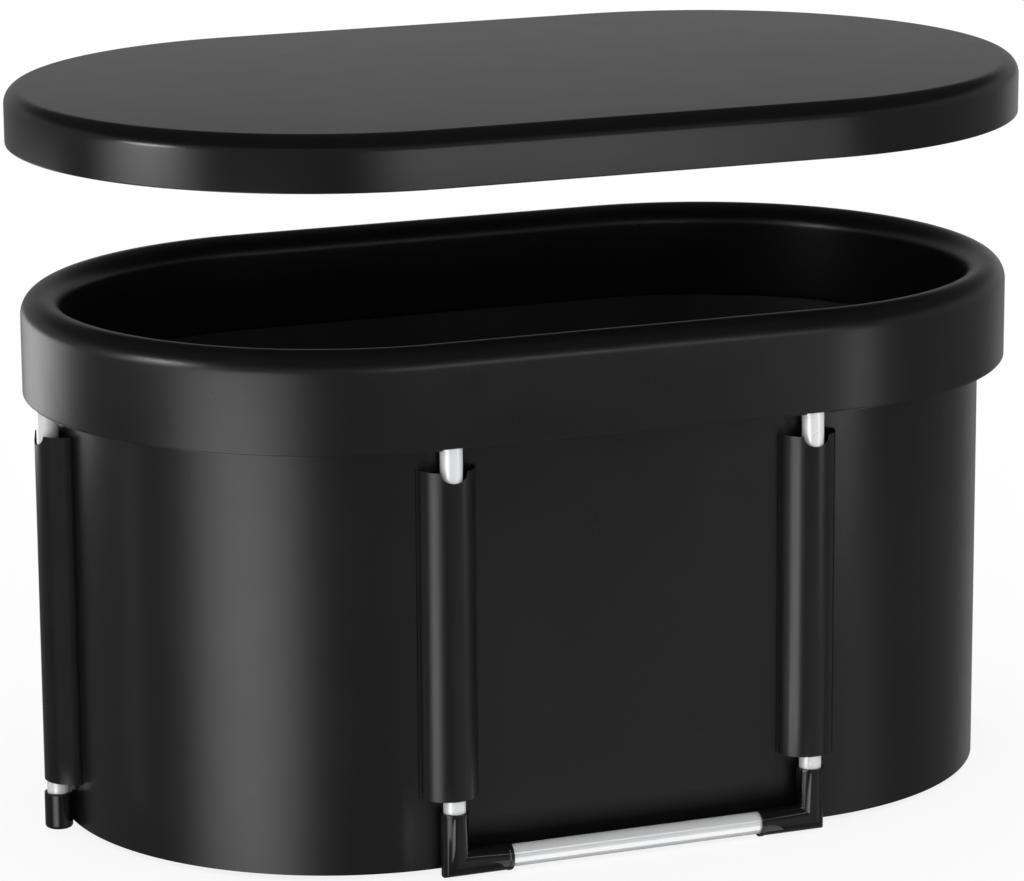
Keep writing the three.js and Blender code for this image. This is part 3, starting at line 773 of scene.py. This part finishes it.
def pole_ways(name):
    """A pole's way outwards from the tub, and its way sideways along the wall."""
    place = pole_place(name)
    at_end = abs(place[0]) > HALF + STANDOFF
    outwards = np.array([np.sign(place[0]), 0.0]) if at_end else np.array([0.0, np.sign(place[1])])
    return outwards, np.array([-outwards[1], outwards[0]])


def wall_behind(name, sideways):
    """How far the wall lies behind a pole, at a distance sideways from it. A
    straight side lies at the standoff. Past its end, and behind an end pole, the
    wall falls away on its circle."""
    outwards, aside = pole_ways(name)
    along = np.abs(pole_place(name)[0] + sideways * aside[0]) - HALF
    past = np.abs(sideways) if outwards[0] else np.maximum(along, 0.0)
    return STANDOFF + BODY_RADIUS - np.sqrt(BODY_RADIUS**2 - past**2)


def sleeve_side(name, side):
    """One side of a sleeve's section, from the middle of its arch outwards, as
    sideways and outwards distances from the pole: a quarter of an ellipse down
    to the weld line, then the flange on the wall."""
    foot, end = [
        np.array([away, FIT - wall_behind(name, side * away)])
        for away in (SLEEVE_FOOT, SLEEVE_FOOT + SLEEVE_FLANGE)
    ]
    rise = POLE_RADIUS + SLEEVE_EASE - foot[1]
    angle = np.linspace(np.pi / 2, 0.0, ARCH_STEPS + 1)
    arch = np.column_stack([foot[0] * np.cos(angle), foot[1] + rise * np.sin(angle)])
    return outline(arch, end) * np.array([side, 1.0])


def sleeve_section(name):
    """The whole section at even steps of the cloth's length, with the corner at
    each weld line eased by a moving mean. Also gives the length of cloth from the
    middle to each point."""
    corners = np.concatenate([sleeve_side(name, -1)[::-1], sleeve_side(name, 1)[1:]])
    length = lengths(corners)
    even = np.linspace(0.0, length[-1], round(length[-1] / SECTION_STEP) + 1)
    points = np.column_stack([np.interp(even, length, corners[:, axis]) for axis in (0, 1)])
    ends = (SECTION_SMOOTH // 2,) * 2
    padded = np.pad(points, (ends, (0, 0)), mode="reflect", reflect_type="odd")
    window = np.full(SECTION_SMOOTH, 1.0 / SECTION_SMOOTH)
    eased = np.column_stack([np.convolve(padded[:, axis], window, "valid") for axis in (0, 1)])
    return eased, np.abs(even - even[-1] / 2)


# %% Sleeves
def sleeve_grid(name, bottom, top):
    """Rows from the straight lower edge to the scooped top edge, columns across
    the cloth."""
    section, from_middle = sleeve_section(name)
    outwards, aside = pole_ways(name)
    flat = pole_place(name) + section[:, :1] * aside + section[:, 1:] * outwards
    scoop = np.sqrt(1 - np.minimum(from_middle / SCOOP_HALF, 1.0) ** 2)
    share = np.linspace(0.0, 1.0, SLEEVE_ROWS)[:, None]
    height = bottom + share * (top - SCOOP_DEPTH * scoop - bottom)
    across = np.broadcast_to(flat, (SLEEVE_ROWS, *flat.shape))
    return np.concatenate([across, height[..., None]], axis=-1), 2 * from_middle.max()


for name in POLE_NAMES:
    low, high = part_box(f"sleeve_{name}")
    grid, width = sleeve_grid(name, low.z, high.z)
    sleeve = add_piece(f"pole_sleeve_{name}", grid, "tub", body_cloth, (f"sleeve_{name}",),
                       columns_closed=False)
    thicken(sleeve, SLEEVE_SKIN, outwards=True)
    print("sleeve cut", round(width, 4), "by", round(high.z - low.z, 4))

# %% [markdown]
# ## The lid
# The lid is a foam pad in a cloth cover. Its side stands upright, its edge is
# rounded and its top is very slightly crowned. From below it is hollow, so that
# its skirt can go down round the collar. One profile from the middle of the
# hollow, round the skirt and over the edge to the middle of the top makes the
# whole pad.

# %% Lid pad
LID_THICKNESS = 0.0615
LID_SKIRT = 0.028
LID_LINING = 0.0012
LID_CLEARANCE = 0.0015
lid_cavity = COLLAR_OUTER + LID_CLEARANCE
lining_top = LID_BOTTOM + LID_SKIRT + LID_LINING
pad_inner = lid_cavity + LID_LINING + FIT
pad_bottom = LID_BOTTOM + SKIN + FIT
skirt_face = LID_OUTER - SKIN
edge_reach = LID_OUTER - LID_EDGE_RADIUS
edge_top = LID_BOTTOM + LID_THICKNESS
edge_height = edge_top - LID_EDGE_RADIUS
CROWN_ROWS = 28

crown_reach = np.linspace(edge_reach, 0.0, CROWN_ROWS)
crown_height = edge_top + LID_CROWN * (1 - (crown_reach / edge_reach) ** 2)
lid_profile = outline(
    line((0.0, lining_top + FIT), (pad_inner, lining_top + FIT), 8),
    line((pad_inner, lining_top + FIT), (pad_inner, pad_bottom), 4),
    (skirt_face, pad_bottom),
    arc((LID_OUTER - SKIN / 2, LID_BOTTOM + SKIN / 2), SKIN / 2, 180, 360, 6),
    line((LID_OUTER, LID_BOTTOM + SKIN), (LID_OUTER, edge_height), 8),
    arc((edge_reach, edge_height), LID_EDGE_RADIUS, 0, 90, 28),
    np.column_stack([crown_reach, crown_height]),
)
lid = add_piece("lid_pad", round_the_oval(lid_profile), "lid", lid_cloth,
                ("lid_cover", "lid_foam"))

# %% [markdown]
# The hollow is lined with a thin matt cloth that turns down inside the skirt, and
# a narrow strip closes the skirt's lower edge.

# %% Lid lining and hem
lining_roof = LID_BOTTOM + LID_SKIRT
lining_profile = outline(
    line((0.0, lining_roof), (lid_cavity, lining_roof), 8),
    line((lid_cavity, lining_roof), (lid_cavity, LID_BOTTOM), 4),
    (lid_cavity + LID_LINING, LID_BOTTOM),
    line((lid_cavity + LID_LINING, lining_top), (0.0, lining_top), 8),
)
lid_lining = add_piece("lid_lining_cloth", round_the_oval(lining_profile), "lid", lining_cloth,
                       ("lid_lining",))

hem_inset = skirt_face - FIT - EDGE_ROUND
hem_start = pad_inner + EDGE_ROUND
lid_hem_profile = outline(
    arc((hem_start, LID_BOTTOM + EDGE_ROUND), EDGE_ROUND, 180, 270, 3),
    arc((hem_inset, LID_BOTTOM + EDGE_ROUND), EDGE_ROUND, -90, 0, 3),
    arc((hem_inset, LID_BOTTOM + SKIN - EDGE_ROUND), EDGE_ROUND, 0, 90, 3),
    arc((hem_start, LID_BOTTOM + SKIN - EDGE_ROUND), EDGE_ROUND, 90, 180, 3),
)
add_piece("lid_hem_strip", round_the_oval(lid_hem_profile), "lid", lid_cloth, ("lid_hem",),
          rows_closed=True)

# %% [markdown]
# ## The drain
# At the foot of the rear wall a short pipe goes through the cloth. A flange and a
# rubber ring seal it from outside, a ribbed nut holds it from inside, and a
# plug with a ribbed knob closes it. All are turned profiles, and ribs are a wave
# of the radius round the axis.

# %% Drain
RIBS = 10
RIB_COLUMNS = 16
RIB_DEPTH = 0.002
BORE_RADIUS = 0.013
DRAIN_ROUND = 0.001
SEAL_SECTION = 0.003


def across_the_wall(points):
    """An upright grid laid along +Y, on the drain's axis."""
    return spots(points[..., 0], points[..., 2], DRAIN_HEIGHT - points[..., 1])


def ribbed(profile, ribbed_rows):
    """A turned profile whose chosen rows wave in and out by the rib depth."""
    columns = RIB_COLUMNS * RIBS
    angle = np.linspace(0.0, 2 * np.pi, columns, endpoint=False)
    wave = RIB_DEPTH / 2 * (1 - np.cos(RIBS * angle))
    points = turned(profile, columns)
    away = np.column_stack([np.cos(angle), np.sin(angle)])
    points[ribbed_rows, :, :2] -= (wave[:, None] * away)[None]
    return points


flange_radius = (drain_high.x - drain_low.x) / 2
gasket_low, gasket_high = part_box("drain_gasket")
flange_back = gasket_high.y + FIT
FLANGE = 0.004
flange_front = flange_back + FLANGE
drain_profile = outline(
    (BORE_RADIUS, drain_low.y),
    (SPIGOT_RADIUS, drain_low.y),
    (SPIGOT_RADIUS, flange_back),
    (flange_radius, flange_back),
    arc((flange_radius - DRAIN_ROUND, flange_front - DRAIN_ROUND), DRAIN_ROUND, 0, 90, 4),
    arc((SPIGOT_RADIUS + DRAIN_ROUND, flange_front + DRAIN_ROUND), DRAIN_ROUND, 270, 180, 4),
    arc((SPIGOT_RADIUS - DRAIN_ROUND, drain_high.y - DRAIN_ROUND), DRAIN_ROUND, 0, 90, 4),
    (BORE_RADIUS, drain_high.y),
)
add_piece("drain_pipe", across_the_wall(turned(drain_profile)), "tub", drain_black, ("drain_body",),
          rows_closed=True)

gasket_profile = tube_profile(flange_radius, SPIGOT_RADIUS + FIT, gasket_low.y, gasket_high.y)
add_piece("drain_ring", across_the_wall(turned(gasket_profile)), "tub", seal_black,
          ("drain_gasket",), rows_closed=True)

nut_low, nut_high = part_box("drain_nut")
nut_radius = (nut_high.x - nut_low.x) / 2
NUT_RIBBED = slice(1, 5)
nut_profile = outline(
    (SPIGOT_RADIUS + FIT, nut_low.y),
    (nut_radius - DRAIN_ROUND, nut_low.y),
    (nut_radius, nut_low.y + DRAIN_ROUND),
    (nut_radius, nut_high.y - DRAIN_ROUND),
    (nut_radius - DRAIN_ROUND, nut_high.y),
    (SPIGOT_RADIUS + FIT, nut_high.y),
)
add_piece("drain_ring_nut", across_the_wall(ribbed(nut_profile, NUT_RIBBED)), "tub", drain_black,
          ("drain_nut",), rows_closed=True)

# %% Drain plug
plug_low, plug_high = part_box("drain_plug")
seal_low, seal_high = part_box("drain_plug_seal")
knob_radius = (plug_high.x - plug_low.x) / 2
seal_middle = (seal_low.y + seal_high.y) / 2
stem_radius = BORE_RADIUS - FIT
groove_half = SEAL_SECTION / 2 + FIT
groove_radius = BORE_RADIUS - SEAL_SECTION - FIT
knob_back = drain_high.y + FIT
KNOB_RIBBED = slice(8, 13)
knob_profile = outline(
    (0.0, plug_low.y),
    (stem_radius - DRAIN_ROUND, plug_low.y),
    (stem_radius, plug_low.y + DRAIN_ROUND),
    (stem_radius, seal_middle - groove_half),
    (groove_radius, seal_middle - groove_half),
    (groove_radius, seal_middle + groove_half),
    (stem_radius, seal_middle + groove_half),
    (stem_radius, knob_back),
    (knob_radius - RIB_DEPTH, knob_back),
    (knob_radius, knob_back + RIB_DEPTH),
    (knob_radius, plug_high.y - RIB_DEPTH),
    (knob_radius - DRAIN_ROUND, plug_high.y - DRAIN_ROUND),
    (knob_radius - RIB_DEPTH, plug_high.y),
    (0.0, plug_high.y),
)
add_piece("drain_knob", across_the_wall(ribbed(knob_profile, KNOB_RIBBED)), "drain_plug",
          drain_black, ("drain_plug",))

seal_half = (seal_high.y - seal_low.y) / 2
seal_round = (seal_high.x - seal_low.x) / 2 - seal_half
seal_profile = arc((seal_round, seal_middle), seal_half, -180, 160, 17)
add_piece("plug_ring", across_the_wall(turned(seal_profile)), "drain_plug", seal_black,
          ("drain_plug_seal",), rows_closed=True)

# %% [markdown]
# ## Floor, light and background
# The floor is plain and pale. Light comes evenly from a white surround, so that a
# colour looks about as it is written.

# %% Floor
FLOOR_SIZE = 40.0
FLOOR_ROUGHNESS = 0.9
GLOW_PART = 0.85


def pale_floor():
    """White, and to the camera partly its own light, so that the shadow on it
    stays soft."""
    finish, tree, shader = new_finish("pale floor", FLOOR_ROUGHNESS, specular=0.0)
    shader.inputs["Base Color"].default_value = WHITE
    seen = add_node(tree, "ShaderNodeLightPath", {}, "Is Camera Ray")
    glow = add_node(tree, "ShaderNodeEmission", {"Color": WHITE, "Strength": 1.0}, "Emission")
    mixed = mix_shaders(tree, multiply(tree, seen, GLOW_PART), shader.outputs["BSDF"], glow)
    tree.links.new(mixed, tree.nodes["Material Output"].inputs["Surface"])
    return finish


floor_mesh = bpy.data.meshes.new("floor")
floor_corners = FLOOR_SIZE * np.array([[-1, -1, 0], [1, -1, 0], [1, 1, 0], [-1, 1, 0]])
floor_mesh.from_pydata(floor_corners, [], [(0, 1, 2, 3)])
floor_mesh.materials.append(pale_floor())
floor = bpy.data.objects.new("floor", floor_mesh)
floor.visible_glossy = False
bpy.context.scene.collection.objects.link(floor)
print("floor", 2 * FLOOR_SIZE, "m wide")

# %% [markdown]
# Black cloth and gloss mostly show what they mirror. Mirrored rays therefore see
# neither the floor nor the white surround, but a dim room of their own, which is
# palest at the horizon and dark overhead.

# %% Surround
ROOM_LIGHT = ((-0.22, 0.18), (0.06, 0.27), (0.24, 0.28), (0.42, 0.04))

world = bpy.data.worlds.new("studio")
bpy.context.scene.world = world
world.use_nodes = True
tree = world.node_tree
tree.nodes.clear()

ray = add_node(tree, "ShaderNodeTexCoord", {}, "Generated")
rise = add_node(tree, "ShaderNodeSeparateXYZ", {"Vector": ray}, "Z")
share = add_node(tree, "ShaderNodeMapRange", {"Value": rise, "From Min": -1.0}, "Result")
room = add_node(tree, "ShaderNodeValToRGB", {"Fac": share}, "Color")
bands = room.node.color_ramp.elements
while len(bands) < len(ROOM_LIGHT):
    bands.new(0.5)
for band, (height, light) in zip(bands, ROOM_LIGHT):
    band.position = (height + 1) / 2
    band.color = (light, light, light, 1.0)

surround = add_node(tree, "ShaderNodeBackground", {"Color": WHITE}, "Background")
mirrored = add_node(tree, "ShaderNodeBackground", {"Color": room}, "Background")
glossy = add_node(tree, "ShaderNodeLightPath", {}, "Is Glossy Ray")
mixed = mix_shaders(tree, glossy, surround, mirrored)
tree.links.new(mixed, tree.nodes.new("ShaderNodeOutputWorld").inputs["Surface"])
print("surround with", len(bands), "bands")

# %% [markdown]
# The streaks of light on the tub come from cards: upright glowing boards close to
# it, as a product photographer sets them. A card near the object is mirrored by one
# piece and missed by the next, because each piece looks past it at its own height.
# A card glows most in its middle, fades towards its upright edges, and is clear from
# behind.

# %% Cards
CARD_DISTANCE = 1.0
SLEEVE_CARD = 0.15
FITTING_CARD = 0.1
BOARD_COLUMNS = 33


def level_paint(name):
    """A material with no shader yet. Also gives its tree, the level that a board
    stores at each point, a clear shader and the socket of its output."""
    paint = bpy.data.materials.new(name)
    paint.use_nodes = True
    paint.cycles.emission_sampling = "NONE"
    tree = paint.node_tree
    tree.nodes.clear()
    level = add_node(tree, "ShaderNodeAttribute", {}, "Fac")
    level.node.attribute_name = "level"
    clear = add_node(tree, "ShaderNodeBsdfTransparent", {}, "BSDF")
    return paint, tree, level, clear, tree.nodes.new("ShaderNodeOutputMaterial").inputs["Surface"]


def card_paint():
    """Adds a glow as strong as the level to what lies behind. Clear from its back."""
    paint, tree, level, clear, surface = level_paint("card light")
    glow = add_node(tree, "ShaderNodeEmission", {"Strength": level}, "Emission")
    both = add_node(tree, "ShaderNodeAddShader", {0: glow, 1: clear}, "Shader")
    back = add_node(tree, "ShaderNodeNewGeometry", {}, "Backfacing")
    tree.links.new(mix_shaders(tree, back, both, clear), surface)
    return paint


def set_board(name, points, paint, levels=1.0):
    """A board that only mirrored rays see, from rows of points and their levels."""
    mesh = grid_mesh(name, points, rows_closed=False, columns_closed=False, left_out=None)
    mesh.materials.append(paint)
    stored = mesh.attributes.new("level", "FLOAT", "POINT")
    spread_out = np.broadcast_to(levels, points.shape[:2]).astype(np.float32)
    stored.data.foreach_set("value", spread_out.ravel())
    board = bpy.data.objects.new(name, mesh)
    board.visible_camera = False
    board.visible_diffuse = False
    board.visible_shadow = False
    bpy.context.scene.collection.objects.link(board)
    print(name, "set")


def upright(place, bearing, distance, width, heights):
    """Rows of an upright board that faces a place by the tub, from a distance the
    way of its bearing, in degrees from +Y towards +X."""
    way = np.array([np.sin(np.radians(bearing)), np.cos(np.radians(bearing))])
    along = np.array([way[1], -way[0]])
    aside = width * np.linspace(-0.5, 0.5, BOARD_COLUMNS)[:, None] * along
    flat = np.array(place) + distance * way + aside
    return spots(flat[:, 0], flat[:, 1], np.array(heights)[:, None])


def card(name, place, bearing, width, heights, light, flatness=2, distance=CARD_DISTANCE):
    """A glowing board. With u from -1 to 1 across it, it glows by its light times
    the square of 1 - |u| to the power of its flatness."""
    across = np.linspace(-1.0, 1.0, BOARD_COLUMNS)
    glow = light * (1 - np.abs(across) ** flatness) ** 2
    set_board(name, upright(place, bearing, distance, width, heights), card_light, glow)


card_light = card_paint()
card("left card", place=(-0.43, -0.25), bearing=-125, width=1.4, heights=(-0.5, 0.45), light=2.7)
card("lid left card", (-0.52, -0.22), -95, 1.2, (0.55, 0.69), 3.2)
card("lid glint card", (-0.52, -0.22), -96, 0.6, (0.74, 0.9), 15.0)
card("lid front card", (-0.05, -0.365), 168, 1.5, (0.57, 0.69), 2.3, flatness=3)
card("collar right card", (0.27, -0.35), 144, 0.5, (0.1, 0.48), 1.7)
card("collar end card", (-0.58, 0.0), -28, 1.4, (0.2, 0.55), 2.1)
card("front card", (0.1, -0.32), 155, 1.9, (-0.7, 0.12), 0.2, flatness=4)
card("front right card", (0.27, -0.32), 134, 0.6, (-0.6, 0.05), 0.2)
card("right end card", (0.55, 0.0), 50, 1.4, (-0.5, 0.8), 0.2)
card("right sleeve card", (0.24, -0.4275), -94, 0.1, (0.05, 0.44), 2.6, distance=SLEEVE_CARD)
for side, x in (("left", -0.155), ("right", 0.275)):
    card(f"{side} fitting card", (x, -0.432), -98, 0.12, (-0.02, 0.04), 3.5, distance=FITTING_CARD)

# %% [markdown]
# Three plain boards finish the light. Behind the front bar hardly any light gets in,
# so a black board there, clear at its top, keeps the foot of the wall dark. Mirrored
# rays don't see the floor, so a pale board lies on it for the bar to mirror. A grey
# board beside the left end's sleeve keeps the left card's streak off it.

# %% Plain boards
SHADE_SIDES = (-0.2, 0.21)
SHADE_GAP = 0.003
SHADE_HEIGHTS = (0.012, 0.034, 0.06)
SHADE_LEVELS = (1.0, 1.0, 0.0)
BOARD_HEIGHT = 0.001
PALE_SIDES = (-0.16, 0.18)
PALE_DEPTHS = (-0.405, -0.354)
PALE_LIGHT = 1.3
GREY_LIGHT = 0.34
GREY_DISTANCE = 0.12
GREY_WIDTH = 0.13
GREY_BEARING = -140


def board_paint(name, light):
    """Glows evenly and hides what is behind it where the board's level is 1, and is
    clear where it is 0."""
    paint, tree, level, clear, surface = level_paint(name)
    glow = add_node(tree, "ShaderNodeEmission", {"Strength": light}, "Emission")
    tree.links.new(mix_shaders(tree, level, clear, glow), surface)
    return paint


shade_heights = np.array(SHADE_HEIGHTS)[:, None]
shade_rows = spots(SHADE_SIDES, -BODY_RADIUS - SHADE_GAP, shade_heights)
shade_levels = np.array(SHADE_LEVELS)[:, None]
set_board("foot shade", shade_rows, board_paint("board black", 0.0), shade_levels)
pale_rows = spots(PALE_SIDES, np.array(PALE_DEPTHS)[:, None], BOARD_HEIGHT)
set_board("pale board", pale_rows, board_paint("board white", PALE_LIGHT))
sleeve_low, sleeve_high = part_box("sleeve_left_end")
grey_rows = upright(pole_place("left_end"), GREY_BEARING, GREY_DISTANCE, GREY_WIDTH,
                    (sleeve_low.z / 2, sleeve_high.z))
set_board("grey board", grey_rows, board_paint("board grey", GREY_LIGHT))

# %% [markdown]
# ## Finish
# The picture is shown as it is rendered, with no colour grading.

# %% Finish
bpy.context.scene.view_settings.view_transform = "Standard"
